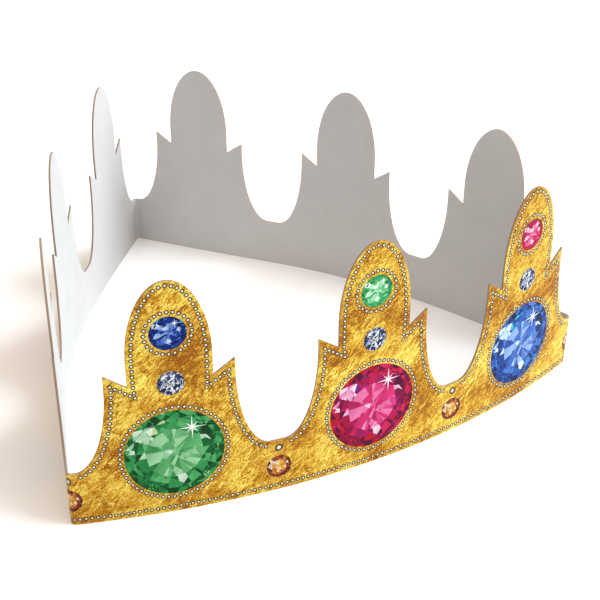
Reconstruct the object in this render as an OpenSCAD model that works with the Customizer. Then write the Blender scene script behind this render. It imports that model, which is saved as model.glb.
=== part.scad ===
// Paper crown: one die-cut card strip with nine towers, folded at three corners and glued into a ring.
// The strip stands on its bottom edge. Z is up, the front panel faces -Y,
// and the origin is at the middle of the bottom of the crown's box.

/* [Strip] */
// Distance from one tower to the next, along the card
tower_pitch = 65; // [50:0.5:80]
// Thickness of the card
card_t = 0.7; // [0.4:0.1:1.2]
// Height of the strip at the bottom of a valley
valley_z = 19; // [12:0.5:30]
// Width of a valley between two ears
valley_w = 26.4; // [18:0.2:34]
// Height above which a valley's sides are upright
valley_upright_z = 48; // [36:0.5:50]

/* [Towers] */
// Height of a tower
tower_h = 80.5; // [70:0.5:100]
// Width of a tower above its ears
tower_w = 25.2; // [16:0.2:30]
// Height at which a tower's round head begins
head_z = 55; // [50:0.5:66]
// Height of the ears' tips
ear_z = 52; // [51:0.5:60]
// Height of the notch between a tower and its ear
notch_z = 47.4; // [40:0.2:50]

/* [Plan] */
// How far the card curves over each tower of the front panel, in degrees, from left to right
front_curve = [12, 13.5, 14];
// The same for the back panel, from the front panel's right end onwards
back_curve = [10, 16, -1.5];
// The same for the left panel, from the back panel's end onwards
left_curve = [5, 16, 5];
// Card taken up by a fold, on each side of its crease
fold_l = 1.8; // [1.4:0.1:3]

/* [Glued seam] */
// Extra card between the seam's crease and the first tower of the back panel
seam_extra = 5; // [0:0.5:8]
// Length of the glue flap
flap_l = 16; // [8:0.5:24]
// How far the flap stays under the valley's bottom and above the strip's bottom edge
flap_inset = 1; // [0.5:0.5:4]
// How much shorter the flap's slanted end is at its top and bottom
flap_slant = 4; // [0:0.5:6]

/* [Hidden] */
card_colour = "goldenrod";
// Straight facets of one tower's stretch of card, of a fold, and of a quarter of an ellipse
stretch_steps = 8;
fold_steps = 8;
oval_steps = 14;
// The level stretch at the bottom of a valley, on each side of its middle, and where in it the cutters meet
valley_flat = fold_l + 0.6;
cut_meet = fold_l + 0.3;
// How far the valleys' cutters reach past the card, above the towers and past a crease
reach = 12;
above = 1;
past_crease = 0.5;

half_pitch = tower_pitch / 2;
curves = [front_curve, back_curve, left_curve];
panels = len(curves);
towers = len(front_curve);
// The back panel, whose start is the glued seam
seam_panel = 1;

// A place on the plan is [x, y, heading]: the strip's outer face runs through it towards that heading,
// counter-clockwise seen from above, with the card on its left.

// The place reached from p after a length of card that turns left by the given angle
function ahead(p, length, turn) =
    abs(turn) < 0.05
    ? [p[0] + length * cos(p[2]), p[1] + length * sin(p[2]), p[2] + turn]
    : let (r = length / turn * 180 / PI, end = p[2] + turn)
      [p[0] + r * (sin(end) - sin(p[2])), p[1] - r * (cos(end) - cos(p[2])), end];

// The point on the plan a given depth behind the outer face at a place
function behind(p, depth) = [p[0] - depth * sin(p[2]), p[1] + depth * cos(p[2])];

// Curved card before and after the middle of tower i, without the straight card beside a fold
function before(panel, i) = half_pitch - (i == 0 ? fold_l - (panel == seam_panel ? seam_extra : 0) : 0);
function after(i) = half_pitch - (i == towers - 1 ? fold_l : 0);
function stretch(panel, i) = before(panel, i) + after(i);

// The place where the stretch of tower i starts, on a panel that starts at p
function stretch_start(p, panel, i) =
    i == 0
    ? ahead(p, fold_l, 0)
    : ahead(stretch_start(p, panel, i - 1), stretch(panel, i - 1), curves[panel][i - 1]);

// The end of a panel that starts at p, and the length and heading of the straight line to it
function panel_end(p, panel) = ahead(stretch_start(p, panel, towers), fold_l, 0);
function span(panel) = let (end = panel_end([0, 0, 0], panel)) norm([end[0], end[1]]);
function span_heading(panel) = let (end = panel_end([0, 0, 0], panel)) atan2(end[1], end[0]);

// The three creases are the corners of a triangle whose sides are the panels' spans
front_angle = acos((pow(span(0), 2) + pow(span(2), 2) - pow(span(1), 2)) / (2 * span(0) * span(2)));
creases = [[0, 0], [span(0), 0], span(2) * [cos(front_angle), sin(front_angle)]];

// The place where each panel starts
function side(panel) = creases[(panel + 1) % panels] - creases[panel];
function panel_start(panel) =
    [creases[panel][0], creases[panel][1], atan2(side(panel)[1], side(panel)[0]) - span_heading(panel)];
starts = [for (panel = [0 : panels - 1]) panel_start(panel)];

// The place, a given length past the start of its stretch, on tower i of a panel
function on_stretch(panel, i, length) =
    ahead(stretch_start(starts[panel], panel, i), length, curves[panel][i] * length / stretch(panel, i));

// The fold at the end of a panel: where it begins, its turn, and its length along the outer face
function fold_begin(panel) = on_stretch(panel, towers - 1, stretch(panel, towers - 1));
function fold_turn(panel) = (starts[(panel + 1) % panels][2] - fold_begin(panel)[2] + 720) % 360;
function fold_length(panel) = fold_l / tan(fold_turn(panel) / 2) * fold_turn(panel) * PI / 180;

// Places all round the strip
round_strip = [
    for (panel = [0 : panels - 1]) each [
        for (i = [0 : towers - 1], k = [0 : stretch_steps - 1])
            on_stretch(panel, i, stretch(panel, i) * k / stretch_steps),
        for (k = [0 : fold_steps - 1])
            ahead(fold_begin(panel), fold_length(panel) * k / fold_steps, fold_turn(panel) * k / fold_steps)
    ]
];
all_x = [for (p = round_strip) p[0]];
all_y = [for (p = round_strip) p[1]];
middle = [min(all_x) + max(all_x), min(all_y) + max(all_y)] / 2;

// A part of an ellipse round [x, z] with the half axes a and b, between two angles
function oval(x, z, a, b, from, to) =
    [for (k = [0 : oval_steps]) let (t = from + (to - from) * k / oval_steps) [x + a * cos(t), z + b * sin(t)]];

// What is cut away on the right of a tower, from its top down to the middle of the next valley.
// x is measured from the middle of the valley.
right_cut = concat(
    [[-half_pitch - above, tower_h + 2 * above], [-half_pitch - above, tower_h]],
    oval(-half_pitch, head_z, tower_w / 2, tower_h - head_z, 90, 0),
    [[tower_w / 2 - half_pitch, notch_z], [-valley_w / 2, ear_z]],
    oval(-valley_flat, valley_upright_z, valley_w / 2 - valley_flat, valley_upright_z - valley_z, 180, 270)
);
left_cut = [for (k = [len(right_cut) - 1 : -1 : 0]) [-right_cut[k][0], right_cut[k][1]]];

// Stands an outline up at a place on the plan, with its x along the card, and reaches through the card
module stand_up(place) {
    translate([place[0], place[1], 0])
        rotate(place[2])
            translate([0, reach, 0])
                rotate([90, 0, 0])
                    linear_extrude(2 * reach) children();
}

// The cutter for a valley between two towers of one panel
module valley_cut(place) {
    stand_up(place) polygon(concat(right_cut, left_cut));
}

// The cutter for the half valley at the end of a panel, down to the level stretch beside the crease
module end_valley_cut(panel) {
    stand_up(on_stretch(panel, towers - 1, stretch(panel, towers - 1) + fold_l))
        polygon(concat(right_cut, [[-cut_meet, valley_z], [-cut_meet, tower_h + 2 * above]]));
}

// The same at the start of a panel, where a seam has its extra card in the level stretch
module start_valley_cut(panel) {
    extra = before(panel, 0) + fold_l - half_pitch;
    stand_up(on_stretch(panel, 0, extra - fold_l))
        polygon(concat([[cut_meet - extra, tower_h + 2 * above], [cut_meet - extra, valley_z]], left_cut));
}

// The cutter above the level stretch beside a crease, on the side that the place heads for or comes from
module crease_cut(place, from, to) {
    translate([place[0], place[1], valley_z])
        rotate(place[2])
            translate([from, -past_crease, 0])
                cube([to - from, fold_l + past_crease, tower_h + 2 * above - valley_z]);
}

// The whole strip before its valleys are cut
module blank() {
    linear_extrude(tower_h + above)
        difference() {
            polygon([for (p = round_strip) behind(p, 0)]);
            polygon([for (p = round_strip) behind(p, card_t)]);
        }
}

// The glue flap, which carries on from the back panel and lies behind the front panel's end
module glue_flap() {
    last = towers - 1;
    flap_places = [
        for (k = [0 : stretch_steps])
            on_stretch(0, last, stretch(0, last) - flap_l * (1 - k / stretch_steps))
    ];
    flap_h = valley_z - 2 * flap_inset;
    intersection() {
        linear_extrude(valley_z)
            polygon(concat(
                [for (p = flap_places) behind(p, card_t / 2)],
                [for (k = [stretch_steps : -1 : 0]) behind(flap_places[k], 2 * card_t)]
            ));
        stand_up(flap_places[stretch_steps])
            translate([0, flap_inset])
                polygon([
                    [reach, 0], [reach, flap_h],
                    [flap_slant - flap_l, flap_h], [-flap_l, flap_h - flap_slant],
                    [-flap_l, flap_slant], [flap_slant - flap_l, 0]
                ]);
    }
}

module crown_band() {
    color(card_colour)
        translate([-middle[0], -middle[1], 0]) {
            difference() {
                blank();
                for (panel = [0 : panels - 1]) {
                    for (i = [1 : towers - 1]) valley_cut(on_stretch(panel, i, 0));
                    end_valley_cut(panel);
                    start_valley_cut(panel);
                    crease_cut(panel_end(starts[panel], panel), -valley_flat, past_crease);
                    crease_cut(starts[panel], -past_crease, valley_flat);
                }
            }
            glue_flap();
        }
}

crown_band();
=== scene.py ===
"""A paper crown: one folded and glued strip of gold printed card, with printed gems and beads."""

import math
import random

import bmesh
import bpy
from mathutils import Matrix, Vector


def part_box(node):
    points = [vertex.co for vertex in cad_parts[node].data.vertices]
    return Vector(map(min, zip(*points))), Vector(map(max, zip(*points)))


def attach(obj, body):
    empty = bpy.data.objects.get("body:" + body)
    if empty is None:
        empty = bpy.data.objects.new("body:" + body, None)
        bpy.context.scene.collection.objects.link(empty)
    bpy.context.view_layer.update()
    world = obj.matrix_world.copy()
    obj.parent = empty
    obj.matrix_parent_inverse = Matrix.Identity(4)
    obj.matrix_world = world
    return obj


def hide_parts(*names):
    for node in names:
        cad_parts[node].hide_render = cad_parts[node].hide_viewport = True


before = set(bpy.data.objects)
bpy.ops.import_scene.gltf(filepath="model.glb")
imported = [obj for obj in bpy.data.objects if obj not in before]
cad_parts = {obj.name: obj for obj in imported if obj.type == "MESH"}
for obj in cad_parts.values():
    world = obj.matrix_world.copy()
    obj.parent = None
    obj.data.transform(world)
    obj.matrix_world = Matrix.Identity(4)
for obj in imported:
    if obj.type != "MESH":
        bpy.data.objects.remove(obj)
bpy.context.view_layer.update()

bl_info = {
    "name": "Paper Crown",
    "version": (1, 0, 0),
    "blender": (4, 5, 0),
    "location": "View3D > Sidebar > Crown",
    "description": "Makes a folded card crown with its printed gold, gems and beads",
    "category": "Add Mesh",
}

MM = 0.001
CARD_NODE = "crown_band"

PANELS = ("front", "back", "left")
SEAM_PANEL = 1
TOWERS = 3

# Places of the card's materials in its list
PRINTED, PLAIN, CUT_EDGE = range(3)

# Names of the layers that the materials read
SHEET_UV = "sheet"
INK = "ink"
# The sheet's own UV map has one unit for this length of card
UV_LENGTH = 0.1
# Mesh corners nearer than this are one, and a cut passes through a corner nearer than this
WELD = 1e-6
TOUCHING = 1e-7
# How far the bead chain steps in at a tower's notch, and how far below the notch its last bead is
CHAIN_STEP = 0.4 * MM
CHAIN_DROP = 3.9 * MM
# The two soft lights: where each one is from the crown, how wide it is in degrees, and its colour
KEY_LIGHT = ((1.0, -0.33, 0.75), 55, (0.83, 0.94, 1.0))
TOP_LIGHT = ((0.0, -0.2, 1.0), 90, (1.0, 0.93, 0.87))
FILL_COLOUR = (1.0, 0.87, 0.78)


def tone(red, green, blue):
    """A colour given as a screen shows it, from 0 to 255, as linear light."""
    return tuple(
        c / 12.92 if c <= 0.04045 else ((c + 0.055) / 1.055) ** 2.4
        for c in (red / 255, green / 255, blue / 255)
    )


def tones(*colours):
    """Several colours, each given as tone() takes it."""
    return tuple(tone(*value) for value in colours)


# Inks of each gem, from its darkest facet to its palest
GEM_INKS = {
    "emerald": {
        "rim": tones((8, 62, 30), (14, 84, 40), (26, 112, 56), (46, 142, 76), (70, 162, 94)),
        "body": tones((18, 96, 46), (34, 126, 64), (52, 148, 80), (86, 172, 106)),
        "table": tones((66, 148, 86), (84, 164, 102), (104, 178, 118), (146, 200, 154)),
        "glint": tones((150, 200, 162), (176, 214, 184), (204, 228, 208)),
        "spark": tone(196, 204, 150),
    },
    "ruby": {
        "rim": tones((84, 4, 52), (112, 8, 56), (142, 10, 50), (176, 18, 48), (196, 28, 84)),
        "body": tones((122, 12, 72), (160, 12, 66), (182, 20, 84), (150, 22, 96)),
        "table": tones((186, 30, 92), (202, 42, 108), (214, 66, 130), (222, 112, 164)),
        "glint": tones((222, 128, 180), (232, 164, 204), (244, 208, 226)),
        "spark": tone(104, 40, 130),
    },
    "sapphire": {
        "rim": tones((4, 24, 78), (10, 42, 110), (18, 62, 144), (30, 86, 172), (58, 118, 198)),
        "body": tones((10, 40, 108), (20, 64, 146), (34, 84, 174), (66, 118, 196)),
        "table": tones((34, 78, 168), (56, 100, 184), (84, 126, 202), (136, 168, 222)),
        "glint": tones((150, 192, 230), (186, 216, 242), (222, 236, 250)),
        "spark": tone(40, 186, 214),
    },
    "midnight": {
        "rim": tones((4, 16, 74), (8, 28, 98), (14, 46, 128), (28, 72, 158)),
        "body": tones((6, 24, 90), (12, 40, 122), (28, 66, 154), (56, 100, 182)),
        "table": tones((16, 46, 132), (38, 74, 162), (72, 108, 188), (112, 144, 208)),
        "glint": tones((124, 160, 216), (160, 190, 230), (200, 218, 242)),
        "spark": tone(40, 150, 200),
    },
    "jade": {
        "rim": tones((22, 112, 60), (36, 140, 78), (60, 164, 98), (92, 184, 120)),
        "body": tones((42, 146, 82), (72, 172, 106), (104, 194, 132), (136, 208, 156)),
        "table": tones((70, 168, 102), (110, 196, 134), (146, 214, 164), (178, 226, 190)),
        "glint": tones((184, 228, 196), (208, 238, 214), (228, 246, 230)),
        "spark": tone(30, 120, 66),
    },
    "rose": {
        "rim": tones((120, 4, 44), (156, 6, 56), (182, 12, 70), (200, 28, 90)),
        "body": tones((150, 8, 62), (186, 20, 84), (206, 44, 108), (222, 96, 146)),
        "table": tones((178, 16, 78), (204, 44, 106), (220, 84, 138), (234, 140, 178)),
        "glint": tones((232, 150, 188), (242, 186, 210), (250, 218, 232)),
        "spark": tone(104, 10, 74),
    },
    "diamond": {
        "rim": tones((18, 26, 62), (44, 56, 96), (110, 124, 158), (204, 212, 232)),
        "body": tones((14, 20, 54), (56, 68, 106), (150, 164, 194), (242, 246, 252)),
        "table": tones((12, 18, 50), (40, 52, 92), (150, 164, 194), (250, 252, 255)),
        "glint": tones((238, 242, 250), (248, 250, 254), (255, 255, 255)),
        "spark": tone(12, 18, 48),
    },
    "amber": {
        "rim": tones((62, 24, 26), (90, 40, 32), (128, 58, 40), (150, 104, 64)),
        "body": tones((112, 48, 30), (176, 104, 42), (206, 140, 58), (140, 34, 44)),
        "table": tones((184, 112, 40), (216, 156, 58), (232, 192, 96), (240, 220, 156)),
        "glint": tones((240, 220, 170), (246, 236, 208), (214, 172, 176)),
        "spark": tone(150, 26, 54),
    },
}

# The gems of a panel's three towers, from its left end, as large gem and small gem
TOWER_GEMS = (("emerald", "midnight"), ("ruby", "jade"), ("sapphire", "rose"))

# How each gem is cut: the seed of its draws, its corners, its cuts near the rim, its loose shards,
# and whether it has the pale patches
GEM_CUTS = {
    "large": (11, 64, 22, 60, True),
    "small": (5, 40, 14, 40, True),
    "diamond": (23, 36, 14, 84, False),
    "amber": (31, 36, 12, 36, True),
}

# The star on a large and on a small gem, in millimetres: how far right of and above the gem's middle it is,
# and the reach of its long rays, of its short rays and of the waist between them
STARS = {"large": ((5.5, 8.3), (4.4, 2.7, 0.6)), "small": ((2.1, 3.1), (1.5, 0.9, 0.26))}
STAR_CORNERS = 16

# Pale patches of a cut gem: across, up and reach, each as a share of its radius
GLINTS = (
    (-0.58, 0.50, 0.20),
    (-0.42, 0.42, 0.12),
    (-0.86, 0.18, 0.10),
    (-0.50, -0.04, 0.17),
    (-0.26, 0.28, 0.12),
    (0.02, 0.47, 0.08),
    (0.08, -0.55, 0.10),
    (-0.16, -0.50, 0.08),
    (0.56, 0.20, 0.14),
    (-0.10, 0.02, 0.07),
)


# ---------------------------------------------------------------- sizes and colours


def length(name, description, millimetres):
    """A length that a user can change."""
    return bpy.props.FloatProperty(
        name=name, description=description, default=millimetres * MM, min=0.0, unit="LENGTH", precision=5
    )


def colour(name, description, value):
    """A colour that a user can change."""
    return bpy.props.FloatVectorProperty(
        name=name, description=description, default=value, size=3, min=0.0, max=1.0, subtype="COLOR"
    )


def curve(name, description, degrees):
    """How far the card of one panel turns over each of its towers."""
    turns = [math.radians(d) for d in degrees]
    return bpy.props.FloatVectorProperty(
        name=name, description=description, default=turns, size=TOWERS, unit="ROTATION"
    )


def rotation(name, description, degrees):
    """An angle that a user can change."""
    return bpy.props.FloatProperty(
        name=name, description=description, default=math.radians(degrees), unit="ROTATION"
    )


def amount(name, description, value):
    """A plain number that a user can change."""
    return bpy.props.FloatProperty(name=name, description=description, default=value, min=0.0)


class CrownCardSettings(bpy.types.PropertyGroup):
    """Sizes and colours of the card strip"""

    tower_pitch: length("Tower pitch", "Distance from one tower to the next along the card", 65)
    thickness: length("Thickness", "Thickness of the card", 0.7)
    valley_z: length("Valley height", "Height of the strip at the bottom of a valley", 19)
    valley_width: length("Valley width", "Width of a valley between two ears", 26.4)
    valley_upright_z: length("Valley upright", "Height above which a valley's sides are upright", 48)
    tower_height: length("Tower height", "Height of a tower", 80.5)
    tower_width: length("Tower width", "Width of a tower above its ears", 25.2)
    head_z: length("Head height", "Height at which a tower's round head begins", 55)
    ear_z: length("Ear height", "Height of the ears' tips", 52)
    notch_z: length("Notch height", "Height of the notch between a tower and its ear", 47.4)
    fold: length("Fold", "Card taken up by a fold on each side of its crease", 1.8)
    valley_level: length("Level stretch", "Level card at a valley's bottom, each side of its middle", 2.4)
    seam_extra: length("Seam extra", "Extra card between the seam and the back panel's first tower", 5)
    flap_length: length("Flap length", "Length of the glue flap", 16)
    flap_inset: length("Flap inset", "How far the flap stays inside the strip's edges", 1)
    flap_slant: length("Flap slant", "How much shorter the flap's end is at its top and bottom", 4)
    front_curve: curve("Front curve", "How far the front panel turns over each tower", (12, 13.5, 14))
    back_curve: curve("Back curve", "How far the back panel turns over each tower", (10, 16, -1.5))
    left_curve: curve("Left curve", "How far the left panel turns over each tower", (5, 16, 5))
    gold_deep: colour("Deep gold", "Darkest strokes of the printed gold", tone(118, 52, 2))
    gold: colour("Gold", "Middle colour of the printed gold", tone(194, 138, 4))
    gold_bright: colour("Bright gold", "Lightest strokes of the printed gold", tone(232, 220, 104))
    liner: colour("Inside", "Unprinted inside of the card", tone(192, 190, 189))
    core: colour("Cut edge", "Grey-brown core that shows at the card's cut edge", tone(158, 132, 112))


class CrownPrintSettings(bpy.types.PropertyGroup):
    """Sizes and colours of the printed gems and beads"""

    ink_height: length("Ink height", "How far the ink stands off the card", 0.03)
    ink_root: length("Ink root", "How far the ink's mesh reaches into the card", 0.25)
    bead_radius: length("Bead radius", "Radius of a small bead", 0.71)
    crease_bead_radius: length("Valley bead radius", "Radius of the bead under each valley", 1.32)
    bead_step: length("Bead step", "Distance from one bead to the next", 1.82)
    large_gem_radius: length("Large gem radius", "Radius of the large gem of each tower", 15.2)
    large_gem_z: length("Large gem height", "Height of the large gem's middle", 22.1)
    large_ring_radius: length("Large ring radius", "Radius of the ring of beads round the large gem", 16.4)
    small_gem_radius: length("Small gem radius", "Radius of the small gem near each tower's top", 5.45)
    small_gem_z: length("Small gem height", "Height of the small gem's middle", 63.7)
    small_ring_radius: length("Small ring radius", "Radius of the ring of beads round the small gem", 6.9)
    diamond_radius: length("Diamond radius", "Radius of the diamond between the two gems", 4.05)
    diamond_z: length("Diamond height", "Height of the diamond's middle", 46.9)
    amber_radius: length("Amber radius", "Radius of the amber gem under each valley", 4.1)
    amber_z: length("Amber height", "Height of the amber gem's middle", 9.0)
    crease_bead_z: length("Valley bead height", "Height of the bead under each valley", 16.2)
    edge_row_z: length("Bottom row height", "Height of the row of beads along the bottom edge", 1.85)
    chain_inset: length("Chain inset", "Distance of the bead chain from the cut edge", 1.75)
    bead_rim: colour("Bead rim", "Dark rim of a bead", tone(62, 56, 44))
    bead_light: colour("Bead light", "Pale middle of a bead", tone(240, 238, 226))


class CrownStageSettings(bpy.types.PropertyGroup):
    """Camera, lights and floor"""

    azimuth: rotation("Azimuth", "Direction that the camera looks in, clockwise from +Y", 29.06)
    elevation: rotation("Elevation", "How far the camera looks down", 29.96)
    roll: rotation("Roll", "Turn of the camera about its own axis", 0.15)
    distance: length("Distance", "Distance from the camera to the point that it looks at", 393.3)
    aim: bpy.props.FloatVectorProperty(
        name="Aim",
        description="Point that the camera looks at, from the middle of the crown's foot",
        default=(-0.0027, -0.0507, 0.040),
        size=3,
        subtype="TRANSLATION",
        unit="LENGTH",
    )
    lens: amount("Lens", "Focal length in millimetres", 70.54)
    key_strength: amount("Key", "Strength of the soft light from the right", 4.4)
    top_strength: amount("Top", "Strength of the soft light from above", 1.8)
    fill_strength: amount("Fill", "Strength of the light from all round", 0.42)
    floor: colour("Floor", "Colour of the floor", tone(250, 250, 250))
    floor_reach: length("Floor reach", "Distance from the floor's middle to its edges", 40000)


# ---------------------------------------------------------------- the strip, flat and folded


def ahead(place, distance, turn):
    """The place [x, y, heading] reached after a length of card that turns left by an angle."""
    x, y, heading = place
    end = heading + turn
    if abs(turn) < 1e-3:
        return x + distance * math.cos(heading), y + distance * math.sin(heading), end
    radius = distance / turn
    return (
        x + radius * (math.sin(end) - math.sin(heading)),
        y - radius * (math.cos(end) - math.cos(heading)),
        end,
    )


class Strip:
    """The strip of card. On the flat sheet a point is [along, behind the printed face, up]."""

    FOLD_CUTS = 5
    STRETCH_CUTS = 12

    def __init__(self, card):
        self.card = card
        self.curves = (tuple(card.front_curve), tuple(card.back_curve), tuple(card.left_curve))
        self.extra = [card.seam_extra if panel == SEAM_PANEL else 0.0 for panel in range(len(PANELS))]
        self.lengths = [TOWERS * card.tower_pitch + extra for extra in self.extra]
        self.offsets = [sum(self.lengths[:panel]) for panel in range(len(PANELS))]
        self.total = sum(self.lengths)
        self.starts = self._starts()
        self.folds = [self._fold(panel) for panel in range(len(PANELS))]
        self.shift = self._shift()

    def stretch(self, panel, i):
        """Where the curved card of tower i begins and ends, along its panel."""
        card = self.card
        low = self.extra[panel] + i * card.tower_pitch
        high = self.extra[panel] + (i + 1) * card.tower_pitch
        if i == 0:
            low = card.fold
        if i == TOWERS - 1:
            high = self.lengths[panel] - card.fold
        return low, high

    def on_panel(self, start, panel, along):
        """The place some way along a panel, between its folds."""
        place = ahead(start, self.card.fold, 0.0)
        for i, turn in enumerate(self.curves[panel]):
            low, high = self.stretch(panel, i)
            part = min(along, high) - low
            place = ahead(place, part, turn * part / (high - low))
            if along <= high:
                break
        return place

    def _panel_end(self, start, panel):
        """The place of the crease at a panel's end."""
        inner = self.on_panel(start, panel, self.lengths[panel] - self.card.fold)
        return ahead(inner, self.card.fold, 0.0)

    def _starts(self):
        """Each panel's starting place, with the creases at the corners of a triangle."""
        ends = [Vector(self._panel_end((0.0, 0.0, 0.0), panel)[:2]) for panel in range(len(PANELS))]
        front, back, left = (end.length for end in ends)
        angle = math.acos((front**2 + left**2 - back**2) / (2 * front * left))
        creases = (Vector((0, 0)), Vector((front, 0)), left * Vector((math.cos(angle), math.sin(angle))))
        starts = []
        for panel, end in enumerate(ends):
            side = creases[(panel + 1) % len(PANELS)] - creases[panel]
            heading = math.atan2(side.y, side.x) - math.atan2(end.y, end.x)
            starts.append((creases[panel].x, creases[panel].y, heading))
        return starts

    def _fold(self, panel):
        """Where the fold at a panel's end begins, how far it turns and how long it is."""
        begin = self.on_panel(self.starts[panel], panel, self.lengths[panel] - self.card.fold)
        turn = (self.starts[(panel + 1) % len(PANELS)][2] - begin[2]) % math.tau
        return begin, turn, self.card.fold / math.tan(turn / 2) * turn

    def _shift(self):
        """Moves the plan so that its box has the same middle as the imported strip's."""
        count = 600
        tolerance = 0.5 * MM
        samples = [self.place(self.total * k / count) for k in range(count)]
        low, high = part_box(CARD_NODE)
        size = high - low
        middle = []
        for axis in (0, 1):
            values = [place[axis] for place in samples]
            if abs(max(values) - min(values) - size[axis]) > tolerance:
                raise RuntimeError("The strip's plan and the packed strip differ in size")
            middle.append((low[axis] + high[axis]) / 2 - (max(values) + min(values)) / 2)
        return Vector((middle[0], middle[1], 0.0))

    def place(self, along):
        """The place of the printed face, some way along the whole strip from the left front crease."""
        along %= self.total
        panel = max(p for p in range(len(PANELS)) if along >= self.offsets[p])
        along -= self.offsets[panel]
        fold = self.card.fold
        if along > self.lengths[panel] - fold:
            begin, turn, arc = self.folds[panel]
            part = (along - self.lengths[panel] + fold) / (2 * fold)
            return ahead(begin, arc * part, turn * part)
        if along < fold:
            begin, turn, arc = self.folds[panel - 1]
            part = (along + fold) / (2 * fold)
            return ahead(begin, arc * part, turn * part)
        return self.on_panel(self.starts[panel], panel, along)

    def bend(self, bm):
        """Bends and folds a flat sheet's mesh round the crown."""
        for vert in bm.verts:
            along, behind, up = vert.co
            x, y, heading = self.place(along)
            at = Vector((x - behind * math.sin(heading), y + behind * math.cos(heading), up))
            vert.co = at + self.shift

    def bend_lines(self):
        """Where a flat sheet has to be divided so that it can bend."""
        lines = []
        fold = self.card.fold
        for panel in range(len(PANELS)):
            for k in range(2 * self.FOLD_CUTS + 1):
                lines.append(self.offsets[panel] - fold + fold * k / self.FOLD_CUTS)
            for i in range(TOWERS):
                low, high = self.stretch(panel, i)
                for k in range(1, self.STRETCH_CUTS + 1):
                    lines.append(self.offsets[panel] + low + (high - low) * k / self.STRETCH_CUTS)
        for k in range(self.FOLD_CUTS + 1):
            lines.append(self.total - fold + fold * k / self.FOLD_CUTS)
        lines.sort()
        least_gap = 0.05 * MM
        return [b for a, b in zip([-1.0] + lines, lines) if b - a > least_gap]

    def valley_middle(self, panel, i):
        """Where the valley before a tower is, along the strip. A panel's first one is at its crease."""
        return self.tower_middle(panel, i) - self.card.tower_pitch / 2 if i else self.offsets[panel]

    def tower_middle(self, panel, i):
        """Where the middle of a tower is, along the whole strip."""
        return self.offsets[panel] + self.extra[panel] + (i + 0.5) * self.card.tower_pitch


def divide(bm, lines):
    """Divides a flat mesh across the strip at each line that it spans."""

    def spans(face, line):
        places = [v.co.x for v in face.verts]
        return min(places) < line - TOUCHING and max(places) > line + TOUCHING

    margin = 0.02 * MM
    low = min(v.co.x for v in bm.verts)
    high = max(v.co.x for v in bm.verts)
    for line in lines:
        if low + margin < line < high - margin:
            near = [face for face in bm.faces if spans(face, line)]
            cut(bm, near, Vector((line, 0, 0)), Vector((1, 0, 0)))


def cut(bm, faces, point, normal):
    """Cuts the given faces with a plane."""
    if not faces:
        return
    edges = {e for f in faces for e in f.edges}
    verts = {v for f in faces for v in f.verts}
    bmesh.ops.bisect_plane(
        bm, geom=[*verts, *edges, *faces], dist=TOUCHING, plane_co=point, plane_no=normal
    )


def thicken(bm, front, back):
    """Gives a flat mesh its thickness, from its front to its back."""
    for vert in bm.verts:
        vert.co.y = back
    top = bmesh.ops.extrude_face_region(bm, geom=bm.faces[:], use_keep_orig=True)["geom"]
    moved = [g for g in top if isinstance(g, bmesh.types.BMVert)]
    for vert in moved:
        vert.co.y = front
    bmesh.ops.recalc_face_normals(bm, faces=bm.faces[:])


def to_mesh(bm, name):
    """Turns a finished bmesh into a mesh."""
    mesh = bpy.data.meshes.new(name)
    bm.to_mesh(mesh)
    bm.free()
    return mesh


def finish_piece(bm, name, materials):
    """Makes a finished bmesh into a piece that rides with the crown."""
    mesh = to_mesh(bm, name)
    for material in materials:
        mesh.materials.append(material)
    piece = bpy.data.objects.new(name, mesh)
    bpy.context.scene.collection.objects.link(piece)
    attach(piece, "root")
    return piece


# ---------------------------------------------------------------- the cut card


def oval(x, z, across, up, start, end, steps=18):
    """Points of part of an ellipse, between two angles in degrees."""
    angles = [math.radians(start + (end - start) * k / steps) for k in range(steps + 1)]
    return [(x + across * math.cos(a), z + up * math.sin(a)) for a in angles]


def right_outline(card, reach):
    """The right half of a tower's outline, from the end of its card to its top."""
    half = card.tower_pitch / 2
    valley = card.valley_width / 2
    points = [(reach, 0.0), (reach, card.valley_z)]
    points += oval(
        half - card.valley_level,
        card.valley_upright_z,
        valley - card.valley_level,
        card.valley_upright_z - card.valley_z,
        270,
        180,
    )
    points += [(half - valley, card.ear_z), (card.tower_width / 2, card.notch_z)]
    points += oval(0.0, card.head_z, card.tower_width / 2, card.tower_height - card.head_z, 0, 90)
    return points


def add_outline(bm, points):
    """Adds a flat face with the given outline, seen from in front."""
    return bm.faces.new([bm.verts.new((along, 0.0, up)) for along, up in points])


def tower_face(bm, strip, panel, i):
    """Adds the card of one tower, from valley to valley."""
    card = strip.card
    half = card.tower_pitch / 2
    middle = strip.tower_middle(panel, i)
    left_reach = half + (strip.extra[panel] if i == 0 else 0.0)
    right = right_outline(card, half)
    left = [(-x, z) for x, z in right_outline(card, left_reach)]
    left.reverse()
    add_outline(bm, [(middle + x, z) for x, z in right + left[1:]])


def card_mesh(strip):
    """The whole strip: printed outside, plain inside and cut edges."""
    card = strip.card
    bm = bmesh.new()
    for panel in range(len(PANELS)):
        for i in range(TOWERS):
            tower_face(bm, strip, panel, i)
    bmesh.ops.remove_doubles(bm, verts=bm.verts[:], dist=WELD)
    bmesh.ops.triangulate(bm, faces=bm.faces[:])
    divide(bm, strip.bend_lines())
    thicken(bm, 0.0, card.thickness)
    paint_card(bm)
    strip.bend(bm)
    bmesh.ops.remove_doubles(bm, verts=bm.verts[:], dist=WELD)
    remove_seam_walls(bm)
    return bm


def remove_seam_walls(bm):
    """Takes out the end wall that is left inside the card where the flat strip's ends meet."""
    walls = [face for face in bm.faces if all(len(e.link_faces) > 2 for e in face.edges)]
    bmesh.ops.delete(bm, geom=walls, context="FACES_ONLY")


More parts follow.
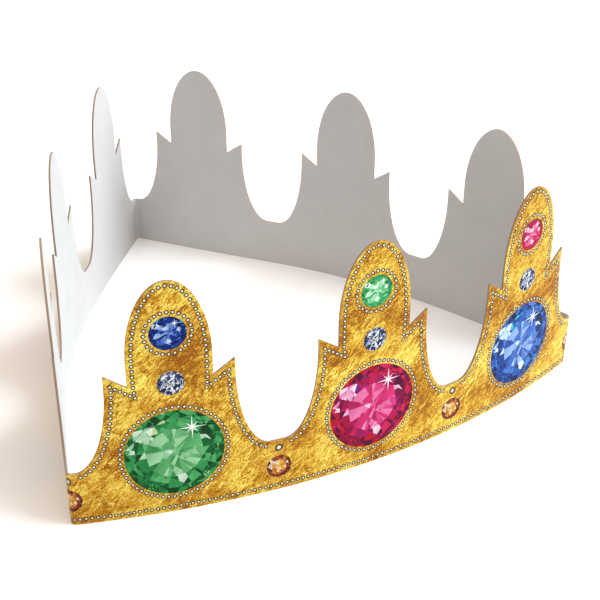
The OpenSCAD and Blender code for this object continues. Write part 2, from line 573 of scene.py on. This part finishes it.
def paint_card(bm):
    """Gives each face of the flat card its material and its place on the sheet."""
    uv = bm.loops.layers.uv.new(SHEET_UV)
    for face in bm.faces:
        facing = face.normal.y
        face.material_index = PRINTED if facing < -0.5 else PLAIN if facing > 0.5 else CUT_EDGE
        face.smooth = face.material_index != CUT_EDGE
        for loop in face.loops:
            along, behind, up = loop.vert.co
            if face.material_index == CUT_EDGE:
                loop[uv].uv = ((along + up) / UV_LENGTH, behind / UV_LENGTH)
            else:
                loop[uv].uv = (along / UV_LENGTH, up / UV_LENGTH)
    for edge in bm.edges:
        kinds = {face.material_index for face in edge.link_faces}
        edge.smooth = len(kinds) == 1


def flap_mesh(strip):
    """The glue flap, which lies behind the front panel's end."""
    card = strip.card
    end = strip.offsets[SEAM_PANEL] - card.fold
    low = card.flap_inset
    high = card.valley_z - card.flap_inset
    tip = end - card.flap_length
    bm = bmesh.new()
    add_outline(
        bm,
        [
            (end, low),
            (end, high),
            (tip + card.flap_slant, high),
            (tip, high - card.flap_slant),
            (tip, low + card.flap_slant),
            (tip + card.flap_slant, low),
        ],
    )
    divide(bm, strip.bend_lines())
    gap = 0.02 * MM
    thicken(bm, card.thickness + gap, 2 * card.thickness)
    paint_card(bm)
    for face in bm.faces:
        if face.material_index == PRINTED:
            face.material_index = PLAIN
    strip.bend(bm)
    return bm


# ---------------------------------------------------------------- print


def disc(bm, radius, segments):
    """Adds a flat disc that faces forwards."""
    upright = Matrix.Rotation(math.pi / 2, 4, "X")
    made = bmesh.ops.create_circle(bm, cap_ends=True, segments=segments, radius=radius, matrix=upright)
    return made["verts"]


def front_faces(bm):
    """The faces of flat ink that face forwards."""
    return [face for face in bm.faces if face.normal.y < -0.5]


def raise_ink(bm, ink):
    """Gives flat ink its thickness."""
    thicken(bm, -ink.ink_height, ink.ink_root)


def set_ink(face, layer, value):
    """Gives a whole face one colour of ink."""
    for loop in face.loops:
        loop[layer] = (*value, 1.0)


def darker(value, share):
    """A colour at a share of its brightness."""
    return tuple(c * share for c in value)


def grey(value):
    """A grey of one brightness."""
    return (value, value, value)


def mixed(a, b, share):
    """A colour between two others."""
    return tuple(x + (y - x) * share for x, y in zip(a, b))


def bead_mesh(ink, radius, segments=12):
    """One bead: a dark rim that pales towards a light middle."""
    bm = bmesh.new()
    layer = bm.loops.layers.float_color.new(INK)
    disc(bm, radius, segments)
    raise_ink(bm, ink)
    front = front_faces(bm)
    for face in bm.faces:
        set_ink(face, layer, ink.bead_rim)
    for share, inner in ((0.33, ink.bead_rim), (0.34, ink.bead_light)):
        inset = bmesh.ops.inset_region(bm, faces=front, thickness=share * radius, use_even_offset=True)
        far = max(v.co.xz.length for f in inset["faces"] for v in f.verts)
        for face in inset["faces"]:
            for loop in face.loops:
                value = ink.bead_rim if loop.vert.co.xz.length > far - share * radius / 2 else inner
                loop[layer] = (*value, 1.0)
    for face in front:
        set_ink(face, layer, ink.bead_light)
    return to_mesh(bm, "bead_pattern")


def scatter(bm, pattern, places):
    """Adds a copy of a pattern mesh at each place on the flat sheet."""
    at = Vector((0, 0, 0))
    for along, up in places:
        goal = Vector((along, 0, up))
        pattern.transform(Matrix.Translation(goal - at))
        at = goal
        bm.from_mesh(pattern)
    pattern.transform(Matrix.Translation(-at))


def evenly(points, step):
    """Places at even steps, near the given one, along a line through the points, with both its ends."""
    lengths = [math.dist(a, b) for a, b in zip(points, points[1:])]
    count = max(1, round(sum(lengths) / step))
    pace = sum(lengths) / count
    places = [points[0]]
    walked = 0.0
    for a, b, part in zip(points, points[1:], lengths):
        while len(places) < count and len(places) * pace <= walked + part:
            share = (len(places) * pace - walked) / part
            places.append((a[0] + (b[0] - a[0]) * share, a[1] + (b[1] - a[1]) * share))
        walked += part
    return places + [points[-1]]


def ring(x, z, radius, step):
    """Places all round a circle, with one at its top."""
    count = round(math.tau * radius / step)
    return [
        (x + radius * math.sin(math.tau * k / count), z + radius * math.cos(math.tau * k / count))
        for k in range(count)
    ]


def chain_foot(card, ink):
    """The lowest bead beside a tower, where an ear's row and the tower's chain meet."""
    side = card.tower_width / 2 - ink.chain_inset
    return side - CHAIN_STEP, card.notch_z - CHAIN_DROP


def tower_chain(card, ink):
    """The beads inside a tower's outline, from one side's foot over the head to the other."""
    side = card.tower_width / 2 - ink.chain_inset
    foot_x, foot_z = chain_foot(card, ink)
    notch_z = card.notch_z - CHAIN_STEP
    head_height = card.tower_height - card.head_z - ink.chain_inset + 0.25 * MM
    head = oval(0.0, card.head_z, side, head_height, 0, 180, 60)
    line = [(foot_x, foot_z), (side, notch_z), *head, (-side, notch_z), (-foot_x, foot_z)]
    return evenly(line, ink.bead_step)


def ear_chain(card, ink):
    """The beads below an ear's slanted top, without the two that other chains end with."""
    step = 1.68 * MM
    return evenly([ear_tip_bead(card, ink), chain_foot(card, ink)], step)[1:-1]


def ear_tip_bead(card, ink):
    """The highest bead of an ear."""
    x = card.tower_pitch / 2 - card.valley_width / 2 - ink.chain_inset - 0.2 * MM
    return x, card.ear_z - 3.7 * MM


def valley_chain(card, ink):
    """The beads beside a valley, from an ear's tip down towards the valley's middle."""
    x, z = ear_tip_bead(card, ink)
    half = card.tower_pitch / 2
    inset = ink.chain_inset + 0.3 * MM
    across = card.valley_width / 2 - card.valley_level + inset
    down = card.valley_upright_z - card.valley_z + inset - CHAIN_STEP
    side = oval(half - card.valley_level, card.valley_upright_z, across, down, 180, 262, 60)
    return evenly([(x, z), *side], ink.bead_step)


def bead_places(strip, ink, panel, i):
    """All the small beads of one tower, on the flat sheet."""
    card = strip.card
    middle = strip.tower_middle(panel, i)
    places = tower_chain(card, ink)
    for side in (-1, 1):
        places += [(side * x, z) for x, z in ear_chain(card, ink)]
        places += [(side * x, z) for x, z in valley_chain(card, ink)]
    places += ring(0.0, ink.large_gem_z, ink.large_ring_radius, ink.bead_step)
    places += ring(0.0, ink.small_gem_z, ink.small_ring_radius, ink.bead_step)
    low = -card.tower_pitch / 2 - (strip.extra[panel] if i == 0 else 0.0)
    count = round((card.tower_pitch / 2 - low) / ink.bead_step)
    pace = (card.tower_pitch / 2 - low) / count
    places += [(low + pace * (k + 0.5), ink.edge_row_z) for k in range(count)]
    return [(middle + x, z) for x, z in places]


def facet_faces(bm, faces, angle, distance):
    """Cuts faces along a straight line at an angle, some way from the gem's middle."""
    direction = Vector((math.cos(angle), 0, math.sin(angle)))
    cut(bm, faces, direction * distance, direction)


def centre_of(face):
    """The middle of a face, across and up."""
    centre = face.calc_center_median()
    return Vector((centre.x, centre.z))


def spokes(bm, faces_of, twist, count, draw, wander, radius):
    """Cuts faces along lines through a gem's middle, each a little astray."""
    for k in range(count):
        angle = twist + (k + draw.uniform(-0.25, 0.25)) * math.pi / count
        facet_faces(bm, faces_of(), angle, draw.uniform(-wander, wander) * radius)


def cut_gem(bm, radius, draw, rim_cuts, shards):
    """Cuts a gem's front into the facets of a round brilliant, and loose shards."""
    table_sides, table_spokes, table_edge = 8, 9, 0.56
    shard_reach = 0.20

    def outside(share):
        return [f for f in front_faces(bm) if centre_of(f).length > share * radius]

    def inside(share):
        return [f for f in front_faces(bm) if centre_of(f).length < share * radius]

    twist = draw.uniform(0.0, math.tau / 16)
    for k in range(table_sides):
        facet_faces(bm, front_faces(bm), twist + k * math.tau / table_sides, table_edge * radius)
    for k in range(rim_cuts):
        angle = twist + (k + 0.5) * math.tau / rim_cuts
        facet_faces(bm, outside(0.58), angle, draw.uniform(0.74, 0.86) * radius)
    spokes(bm, lambda: outside(0.6), twist, rim_cuts // 2, draw, 0.06, radius)
    spokes(bm, lambda: inside(table_edge), twist, table_spokes, draw, 0.07, radius)
    for _ in range(shards):
        away, bearing = draw.uniform(0.15, 0.98), draw.uniform(0.0, math.tau)
        about = Vector((math.cos(bearing), math.sin(bearing))) * away * radius
        near = [f for f in front_faces(bm) if (centre_of(f) - about).length < shard_reach * radius]
        angle = draw.uniform(0.0, math.tau)
        facet_faces(bm, near, angle, about.dot(Vector((math.cos(angle), math.sin(angle)))))


def paint_gem(bm, radius, inks, draw, glints):
    """Colours each facet: a deep rim, a lighter table, and pale glints."""
    table_edge, body_edge = 0.52, 0.72
    spark_chance, glint_chance = 0.04, 0.75
    layer = bm.loops.layers.float_color.new(INK)
    for face in bm.faces:
        set_ink(face, layer, inks["rim"][0])
    for face in front_faces(bm):
        centre = centre_of(face) / radius
        away = centre.length
        zone = "table" if away < table_edge else "body" if away < body_edge else "rim"
        value = draw.choice(inks[zone])
        if away > 0.5 and draw.random() < spark_chance:
            value = inks["spark"]
        for x, z, reach in glints:
            if (centre - Vector((x, z))).length < reach and draw.random() < glint_chance:
                value = draw.choice(inks["glint"])
        value = darker(value, draw.uniform(0.85, 1.05))
        slope = Vector((draw.uniform(-1, 1), draw.uniform(-1, 1))) * 1.2
        for loop in face.loops:
            at = Vector((loop.vert.co.x, loop.vert.co.z)) / radius - centre
            share = max(0.5, min(1.5, 1.0 + at.dot(slope)))
            loop[layer] = (*[min(1.0, c * share) for c in value], 1.0)


def gem_mesh(strip, ink, spot, radius, kind, style):
    """One gem of a kind, cut, coloured and laid round the crown at a spot on the flat sheet."""
    seed, segments, rim_cuts, shards, has_glints = GEM_CUTS[style]
    draw = random.Random(seed)
    bm = bmesh.new()
    disc(bm, radius, segments)
    raise_ink(bm, ink)
    cut_gem(bm, radius, draw, rim_cuts, shards)
    paint_gem(bm, radius, GEM_INKS[kind], draw, GLINTS if has_glints else ())
    return laid_mesh(bm, strip, spot, "gem_pattern")


def laid_mesh(bm, strip, spot, name):
    """Moves flat ink to its spot, divides and bends it round the crown, and makes it a mesh."""
    bmesh.ops.translate(bm, verts=bm.verts[:], vec=(spot[0], 0, spot[1]))
    lines = strip.bend_lines()
    divide(bm, lines + [line + strip.total for line in lines if line < strip.card.tower_pitch])
    strip.bend(bm)
    return to_mesh(bm, name)


def star_mesh(strip, ink, spot, long_ray, short_ray, waist):
    """A white star of four long and four short rays."""
    bm = bmesh.new()
    for vert in disc(bm, 1.0, STAR_CORNERS):
        angle = math.atan2(vert.co.z, vert.co.x)
        turn = round(angle / (math.tau / STAR_CORNERS)) % STAR_CORNERS
        reach = long_ray if turn % 4 == 0 else short_ray if turn % 4 == 2 else waist
        vert.co = Vector((reach * math.cos(angle), 0, reach * math.sin(angle)))
    thicken(bm, -2.2 * ink.ink_height, ink.ink_root)
    layer = bm.loops.layers.float_color.new(INK)
    for face in bm.faces:
        set_ink(face, layer, tone(252, 253, 255))
    bmesh.ops.triangulate(bm, faces=bm.faces[:])
    return laid_mesh(bm, strip, spot, "star_pattern")


def joined(meshes):
    """One bmesh of several meshes, which are then removed."""
    bm = bmesh.new()
    for mesh in meshes:
        bm.from_mesh(mesh)
        bpy.data.meshes.remove(mesh)
    return bm


# ---------------------------------------------------------------- materials


class Nodes:
    """Builds a material's node tree, one short call for each node."""

    def __init__(self, name):
        self.material = bpy.data.materials.new(name)
        self.material.use_nodes = True
        self.tree = self.material.node_tree
        self.tree.nodes.clear()
        self.shader = self.add("ShaderNodeBsdfPrincipled")
        self.link(self.shader, "BSDF", self.add("ShaderNodeOutputMaterial"), "Surface")

    def add(self, kind, **settings):
        node = self.tree.nodes.new(kind)
        for name, value in settings.items():
            setattr(node, name, value)
        return node

    def link(self, source, output, target, name):
        self.tree.links.new(source.outputs[output], target.inputs[name])

    def noise(self, coordinates, scale, detail=3.0, roughness=0.55, distortion=0.0):
        node = self.add("ShaderNodeTexNoise")
        node.inputs["Scale"].default_value = scale
        node.inputs["Detail"].default_value = detail
        node.inputs["Roughness"].default_value = roughness
        node.inputs["Distortion"].default_value = distortion
        self.link(coordinates[0], coordinates[1], node, "Vector")
        return node

    def ramp(self, source, output, stops):
        node = self.add("ShaderNodeValToRGB")
        elements = node.color_ramp.elements
        while len(elements) < len(stops):
            elements.new(0.5)
        for element, (place, value) in zip(elements, stops):
            element.position = place
            element.color = (*value, 1.0)
        self.link(source, output, node, "Fac")
        return node

    def math(self, operation, a, b):
        """A Math node; a and b are numbers or (node, output) pairs."""
        node = self.add("ShaderNodeMath", operation=operation)
        for k, value in enumerate((a, b)):
            if isinstance(value, tuple):
                self.tree.links.new(value[0].outputs[value[1]], node.inputs[k])
            else:
                node.inputs[k].default_value = value
        return node

    def total(self, *parts):
        """The sum of outputs, each ((node, output), weight)."""
        result = None
        for output, weight in parts:
            scaled = self.math("MULTIPLY", output, weight)
            result = self.math("ADD", (result, 0), (scaled, 0)) if result else scaled
        return result

    def mix(self, blend, share, a, b):
        """A colour Mix node; share, a and b are values or (node, output) pairs."""
        node = self.add("ShaderNodeMix", data_type="RGBA", blend_type=blend)
        for k, value in zip((0, 6, 7), (share, a, b)):
            if isinstance(value[0] if isinstance(value, tuple) else value, bpy.types.Node):
                self.tree.links.new(value[0].outputs[value[1]], node.inputs[k])
            elif k == 0:
                node.inputs[k].default_value = value
            else:
                node.inputs[k].default_value = (*value, 1.0)
        return node

    def bump(self, source, output, strength, distance):
        node = self.add("ShaderNodeBump")
        node.inputs["Strength"].default_value = strength
        node.inputs["Distance"].default_value = distance
        self.link(source, output, node, "Height")
        self.link(node, "Normal", self.shader, "Normal")


def gold_material(card):
    """Printed crumpled gold: slanting bright and dark strokes under a satin varnish."""
    n = Nodes("printed_gold")
    sheet = n.add("ShaderNodeUVMap", uv_map=SHEET_UV)
    slant = n.add("ShaderNodeMapping", vector_type="TEXTURE")
    slant.inputs["Rotation"].default_value = (0, 0, math.radians(43))
    slant.inputs["Scale"].default_value = (2.7, 1.0, 1.0)
    n.link(sheet, "UV", slant, "Vector")
    strokes = n.noise((slant, "Vector"), 84, detail=4, roughness=0.65, distortion=1.4)
    fine = n.noise((slant, "Vector"), 230, detail=3, roughness=0.65, distortion=0.6)
    clouds = n.noise((sheet, "UV"), 6.5, detail=3, roughness=0.55)
    grain = n.noise((sheet, "UV"), 250, detail=3, roughness=0.75)
    deep, gold, bright = tuple(card.gold_deep), tuple(card.gold), tuple(card.gold_bright)
    base = n.total(((clouds, "Fac"), 0.26), ((grain, "Fac"), 0.50), ((strokes, "Fac"), 0.24))
    leaf = n.ramp(
        base,
        0,
        (
            (0.432, deep),
            (0.466, mixed(deep, gold, 0.58)),
            (0.500, gold),
            (0.545, mixed(gold, bright, 0.48)),
            (0.590, mixed(gold, bright, 0.90)),
        ),
    )
    value = n.total(((strokes, "Fac"), 0.46), ((fine, "Fac"), 0.36), ((clouds, "Fac"), 0.18))
    glow = n.ramp(value, 0, ((0.525, grey(0.0)), (0.555, grey(0.6)), (0.59, grey(1.0))))
    dusk = n.ramp(value, 0, ((0.400, grey(1.0)), (0.435, grey(0.6)), (0.475, grey(0.0))))
    shaded = n.mix("MIX", (dusk, "Color"), (leaf, "Color"), mixed(deep, gold, 0.15))
    regions = n.noise((sheet, "UV"), 10, detail=2, roughness=0.5)
    streaky = n.ramp(regions, "Fac", ((0.42, grey(0.25)), (0.56, grey(1.0))))
    glints = n.math("MULTIPLY", (glow, "Color"), (streaky, "Color"))
    printed = n.mix("MIX", (glints, 0), (shaded, 2), bright)
    n.link(printed, 2, n.shader, "Base Color")
    gloss = n.ramp(value, 0, ((0.46, grey(0.56)), (0.66, grey(0.42))))
    n.link(gloss, "Color", n.shader, "Roughness")
    n.shader.inputs["Specular IOR Level"].default_value = 0.14
    n.bump(grain, "Fac", 0.12, 0.02 * MM)
    return n.material


def liner_material(card):
    """Uncoated white inside, with the faint mottle and fibres of card."""
    n = Nodes("plain_card")
    place = n.add("ShaderNodeTexCoord")
    mottle = n.noise((place, "Object"), 90, detail=4, roughness=0.6)
    fibres = n.noise((place, "Object"), 2600, detail=3, roughness=0.7)
    both = n.total(((mottle, "Fac"), 0.5), ((fibres, "Fac"), 0.5))
    white = tuple(card.liner)
    ramp = n.ramp(both, 0, ((0.34, darker(white, 0.90)), (0.66, white)))
    n.link(ramp, "Color", n.shader, "Base Color")
    n.shader.inputs["Roughness"].default_value = 0.82
    n.bump(fibres, "Fac", 0.18, 0.05 * MM)
    return n.material


def core_material(card):
    """Cut edge of the card, with its pressed layers."""
    n = Nodes("cut_card_edge")
    place = n.add("ShaderNodeTexCoord")
    sheet = n.add("ShaderNodeUVMap", uv_map=SHEET_UV)
    layers = n.noise((sheet, "UV"), 900, detail=2, roughness=0.5)
    fibres = n.noise((place, "Object"), 1800, detail=3, roughness=0.7)
    value = n.total(((layers, "Fac"), 0.6), ((fibres, "Fac"), 0.4))
    core = tuple(card.core)
    ramp = n.ramp(value, 0, ((0.36, darker(core, 0.66)), (0.64, core)))
    n.link(ramp, "Color", n.shader, "Base Color")
    n.shader.inputs["Roughness"].default_value = 0.88
    n.bump(fibres, "Fac", 0.3, 0.05 * MM)
    return n.material


def ink_material(name, roughness):
    """Printed ink in the colours that the mesh holds, a little uneven, under a satin varnish."""
    n = Nodes(name)
    ink = n.add("ShaderNodeVertexColor", layer_name=INK)
    place = n.add("ShaderNodeTexCoord")
    blur = n.noise((place, "Object"), 1500, detail=3, roughness=0.6)
    shade = n.ramp(blur, "Fac", ((0.30, grey(0.74)), (0.62, grey(0.88))))
    uneven = n.mix("MULTIPLY", 1.0, (ink, "Color"), (shade, "Color"))
    n.link(uneven, 2, n.shader, "Base Color")
    gloss = n.ramp(blur, "Fac", ((0.35, grey(roughness + 0.06)), (0.65, grey(roughness))))
    n.link(gloss, "Color", n.shader, "Roughness")
    n.shader.inputs["Specular IOR Level"].default_value = 0.08
    return n.material


def floor_material(stage):
    """Plain pale floor with a very faint unevenness."""
    n = Nodes("pale_floor")
    place = n.add("ShaderNodeTexCoord")
    cloud = n.noise((place, "Object"), 1.5, detail=2)
    pale = tuple(stage.floor)
    ramp = n.ramp(cloud, "Fac", ((0.3, darker(pale, 0.985)), (0.7, pale)))
    n.link(ramp, "Color", n.shader, "Base Color")
    n.shader.inputs["Roughness"].default_value = 0.9
    n.shader.inputs["Specular IOR Level"].default_value = 0.1
    return n.material


# ---------------------------------------------------------------- operators


class CROWN_OT_card(bpy.types.Operator):
    """Make the folded card strip with its glue flap"""

    bl_idname = "crown.card"
    bl_label = "Card strip"

    def execute(self, context):
        card = context.scene.crown_card
        strip = Strip(card)
        band = card_mesh(strip)
        flap = to_mesh(flap_mesh(strip), "glue_flap")
        band.from_mesh(flap)
        bpy.data.meshes.remove(flap)
        materials = [gold_material(card), liner_material(card), core_material(card)]
        piece = finish_piece(band, "crown_card", materials)
        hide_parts(CARD_NODE)
        return {"FINISHED"}


class CROWN_OT_beads(bpy.types.Operator):
    """Print the chains, rings and rows of small beads on each panel"""

    bl_idname = "crown.beads"
    bl_label = "Beads"

    def execute(self, context):
        ink = context.scene.crown_print
        strip = Strip(context.scene.crown_card)
        small = bead_mesh(ink, ink.bead_radius)
        large = bead_mesh(ink, ink.crease_bead_radius, 20)
        material = ink_material("bead_ink", 0.38)
        for panel, name in enumerate(PANELS):
            bm = bmesh.new()
            for i in range(TOWERS):
                scatter(bm, small, bead_places(strip, ink, panel, i))
                scatter(bm, large, [(strip.valley_middle(panel, i), ink.crease_bead_z)])
            strip.bend(bm)
            finish_piece(bm, "beads_" + name, [material])
        bpy.data.meshes.remove(small)
        bpy.data.meshes.remove(large)
        return {"FINISHED"}


class CROWN_OT_gems(bpy.types.Operator):
    """Print the large and small gems and the diamonds of each panel"""

    bl_idname = "crown.gems"
    bl_label = "Tower gems"

    def execute(self, context):
        ink = context.scene.crown_print
        strip = Strip(context.scene.crown_card)
        material = ink_material("gem_ink", 0.3)
        for panel, name in enumerate(PANELS):
            groups = {"large_gems_": [], "small_gems_": [], "diamonds_": []}
            for i, (large, small) in enumerate(TOWER_GEMS):
                x = strip.tower_middle(panel, i)
                for group, height, radius, kind, style in (
                    ("large_gems_", ink.large_gem_z, ink.large_gem_radius, large, "large"),
                    ("small_gems_", ink.small_gem_z, ink.small_gem_radius, small, "small"),
                    ("diamonds_", ink.diamond_z, ink.diamond_radius, "diamond", "diamond"),
                ):
                    groups[group].append(gem_mesh(strip, ink, (x, height), radius, kind, style))
            for group, meshes in groups.items():
                finish_piece(joined(meshes), group + name, [material])
        return {"FINISHED"}


class CROWN_OT_amber(bpy.types.Operator):
    """Print the amber gems under the valleys"""

    bl_idname = "crown.amber"
    bl_label = "Amber gems"

    def execute(self, context):
        ink = context.scene.crown_print
        strip = Strip(context.scene.crown_card)
        material = ink_material("amber_ink", 0.3)
        for panel, name in enumerate(PANELS):
            # The gem across the strip's first crease is laid at the strip's end, which is the same place
            spots = [(strip.valley_middle(panel, i) or strip.total, ink.amber_z) for i in range(TOWERS)]
            gems = [gem_mesh(strip, ink, spot, ink.amber_radius, "amber", "amber") for spot in spots]
            finish_piece(joined(gems), "amber_gems_" + name, [material])
        return {"FINISHED"}


class CROWN_OT_stars(bpy.types.Operator):
    """Print the white star on each gem"""

    bl_idname = "crown.stars"
    bl_label = "Stars"

    def execute(self, context):
        ink = context.scene.crown_print
        strip = Strip(context.scene.crown_card)
        material = ink_material("star_ink", 0.35)
        for panel, name in enumerate(PANELS):
            stars = []
            for i in range(TOWERS):
                x = strip.tower_middle(panel, i)
                for style, z in (("large", ink.large_gem_z), ("small", ink.small_gem_z)):
                    (right, up), rays = STARS[style]
                    spot = (x + right * MM, z + up * MM)
                    stars.append(star_mesh(strip, ink, spot, *[ray * MM for ray in rays]))
            finish_piece(joined(stars), "stars_" + name, [material])
        return {"FINISHED"}


class CROWN_OT_stage(bpy.types.Operator):
    """Set up the pale floor, the soft light and the camera"""

    bl_idname = "crown.stage"
    bl_label = "Stage"

    def execute(self, context):
        stage = context.scene.crown_stage
        self.add_floor(context, stage)
        self.add_lights(context, stage)
        self.add_camera(context, stage)
        context.scene.view_settings.view_transform = "Standard"
        return {"FINISHED"}

    def add_floor(self, context, stage):
        bm = bmesh.new()
        bmesh.ops.create_grid(bm, x_segments=1, y_segments=1, size=stage.floor_reach)
        mesh = to_mesh(bm, "floor")
        mesh.materials.append(floor_material(stage))
        floor = bpy.data.objects.new("floor", mesh)
        context.scene.collection.objects.link(floor)

    def add_lights(self, context, stage):
        world = bpy.data.worlds.new("studio")
        world.use_nodes = True
        background = world.node_tree.nodes["Background"]
        background.inputs["Color"].default_value = (*FILL_COLOUR, 1.0)
        background.inputs["Strength"].default_value = stage.fill_strength
        context.scene.world = world
        self.add_sun(context, "key", stage.key_strength, *KEY_LIGHT)
        self.add_sun(context, "top", stage.top_strength, *TOP_LIGHT)

    def add_sun(self, context, name, strength, towards, width, value):
        light = bpy.data.lights.new(name, "SUN")
        light.energy = strength
        light.angle = math.radians(width)
        light.color = value
        lamp = bpy.data.objects.new(name, light)
        lamp.rotation_euler = Vector(towards).to_track_quat("Z", "Y").to_euler()
        lamp.location = Vector(towards).normalized()
        context.scene.collection.objects.link(lamp)

    def add_camera(self, context, stage):
        data = bpy.data.cameras.new("camera")
        data.lens = stage.lens
        data.sensor_width = 36.0
        data.clip_start = 0.01
        camera = bpy.data.objects.new("camera", data)
        turn = Matrix.Rotation(-stage.azimuth, 4, "Z")
        tilt = Matrix.Rotation(math.pi / 2 - stage.elevation, 4, "X")
        roll = Matrix.Rotation(stage.roll, 4, "Z")
        facing = turn @ tilt @ roll
        back = facing @ Vector((0, 0, stage.distance))
        camera.matrix_world = Matrix.Translation(Vector(stage.aim) + back) @ facing
        context.scene.collection.objects.link(camera)
        context.scene.camera = camera


class CROWN_PT_panel(bpy.types.Panel):
    """Lists the crown's sizes and the steps that make it"""

    bl_label = "Paper Crown"
    bl_idname = "CROWN_PT_panel"
    bl_space_type = "VIEW_3D"
    bl_region_type = "UI"
    bl_category = "Crown"

    def draw(self, context):
        layout = self.layout
        for setting in SETTINGS:
            group = getattr(context.scene, setting)
            box = layout.box()
            for name in group.__annotations__:
                box.prop(group, name)
        for operator in OPERATORS:
            layout.operator(operator.bl_idname)


SETTINGS = {
    "crown_card": CrownCardSettings,
    "crown_print": CrownPrintSettings,
    "crown_stage": CrownStageSettings,
}
OPERATORS = (CROWN_OT_card, CROWN_OT_beads, CROWN_OT_gems, CROWN_OT_amber, CROWN_OT_stars, CROWN_OT_stage)
CLASSES = (*SETTINGS.values(), *OPERATORS, CROWN_PT_panel)


def register():
    for cls in CLASSES:
        bpy.utils.register_class(cls)
    for name, cls in SETTINGS.items():
        setattr(bpy.types.Scene, name, bpy.props.PointerProperty(type=cls))


def unregister():
    for name in SETTINGS:
        delattr(bpy.types.Scene, name)
    for cls in reversed(CLASSES):
        bpy.utils.unregister_class(cls)


def main():
    register()
    bpy.ops.crown.card()
    bpy.ops.crown.beads()
    bpy.ops.crown.gems()
    bpy.ops.crown.amber()
    bpy.ops.crown.stars()
    bpy.ops.crown.stage()


if __name__ == "__main__":
    main()
